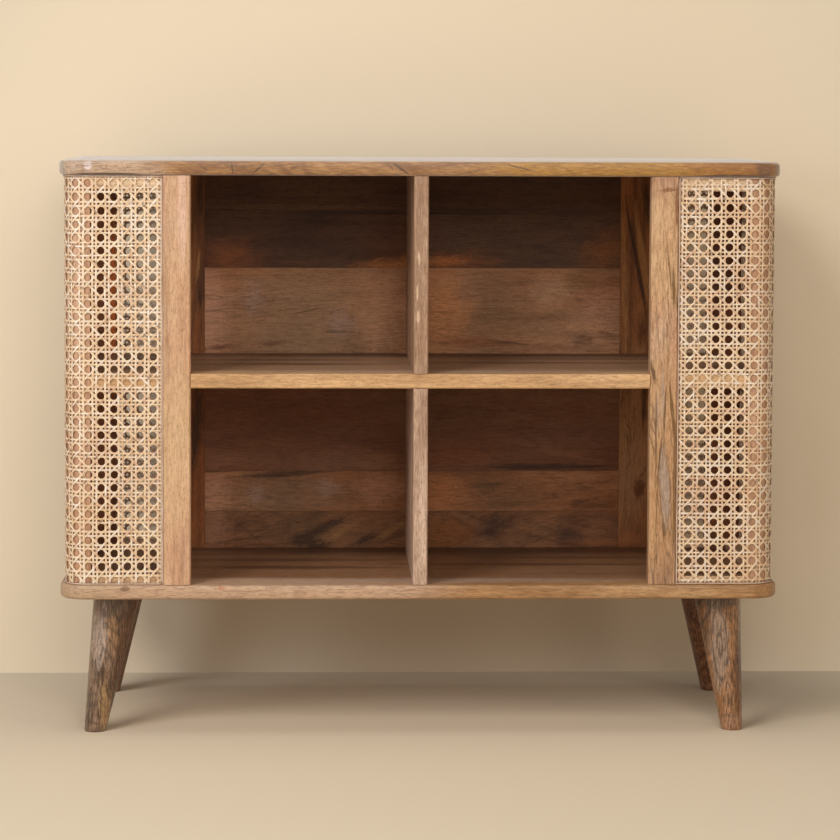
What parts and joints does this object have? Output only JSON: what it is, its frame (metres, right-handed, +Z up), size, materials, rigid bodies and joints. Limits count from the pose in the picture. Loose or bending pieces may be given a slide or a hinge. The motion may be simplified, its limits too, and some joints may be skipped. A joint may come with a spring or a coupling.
{
  "type": "open-front cabinet",
  "caption": "Low open-front cabinet with a shelf and dividers, rounded woven cane ends on a wooden frame, and splayed tapered legs.",
  "frame": {"origin": "on the floor, under the middle of the cabinet", "axes": "+X along the width to the right as seen from the front, +Y from the open front to the back, +Z up"},
  "size_m": [0.906, 0.35, 0.724],
  "materials": {
    "board_wood": "golden brown mango wood, satin lacquer, long grain",
    "light_wood": "light tan mango wood with brown streaks, satin",
    "frame_wood": "plain mango wood behind the cane, matt",
    "back_wood": "reddish brown mango planks, satin",
    "leg_wood": "darker turned mango wood, satin",
    "cane": "natural straw-coloured cane strands, slight sheen",
    "cane_bead": "half-round cane strip, satin",
    "steel": "zinc-plated, plain"
  },
  "bodies": {
    "root": {"top_board": "board_wood", "bottom_board": "board_wood", "shelf": "light_wood", "upper_divider": "light_wood", "lower_divider": "light_wood", "left_front_post": "light_wood", "left_front_corner_post": "frame_wood", "left_front_corner_cane": "cane", "left_front_cane": "cane", "left_front_bottom_rail": "frame_wood", "left_front_top_rail": "frame_wood", "left_front_leg": "leg_wood", "left_front_leg_bolt": "steel", "left_front_leg_insert": "steel", "left_rear_post": "light_wood", "left_rear_corner_post": "frame_wood", "left_rear_corner_cane": "cane", "left_rear_cane": "cane", "left_rear_bottom_rail": "frame_wood", "left_rear_top_rail": "frame_wood", "left_rear_leg": "leg_wood", "left_rear_leg_bolt": "steel", "left_rear_leg_insert": "steel", "left_side_bottom_rail": "frame_wood", "left_side_top_rail": "frame_wood", "left_side_cane": "cane", "left_cane_bead": "cane_bead", "right_front_post": "light_wood", "right_front_corner_post": "frame_wood", "right_front_corner_cane": "cane", "right_front_cane": "cane", "right_front_bottom_rail": "frame_wood", "right_front_top_rail": "frame_wood", "right_front_leg": "leg_wood", "right_front_leg_bolt": "steel", "right_front_leg_insert": "steel", "right_rear_post": "light_wood", "right_rear_corner_post": "frame_wood", "right_rear_corner_cane": "cane", "right_rear_cane": "cane", "right_rear_bottom_rail": "frame_wood", "right_rear_top_rail": "frame_wood", "right_rear_leg": "leg_wood", "right_rear_leg_bolt": "steel", "right_rear_leg_insert": "steel", "right_side_bottom_rail": "frame_wood", "right_side_top_rail": "frame_wood", "right_side_cane": "cane", "right_cane_bead": "cane_bead", "back_plank_1": "back_wood", "back_plank_2": "back_wood", "back_plank_3": "back_wood", "back_plank_4": "back_wood", "back_plank_5": "back_wood", "back_plank_6": "back_wood"}
  },
  "joints": []
}
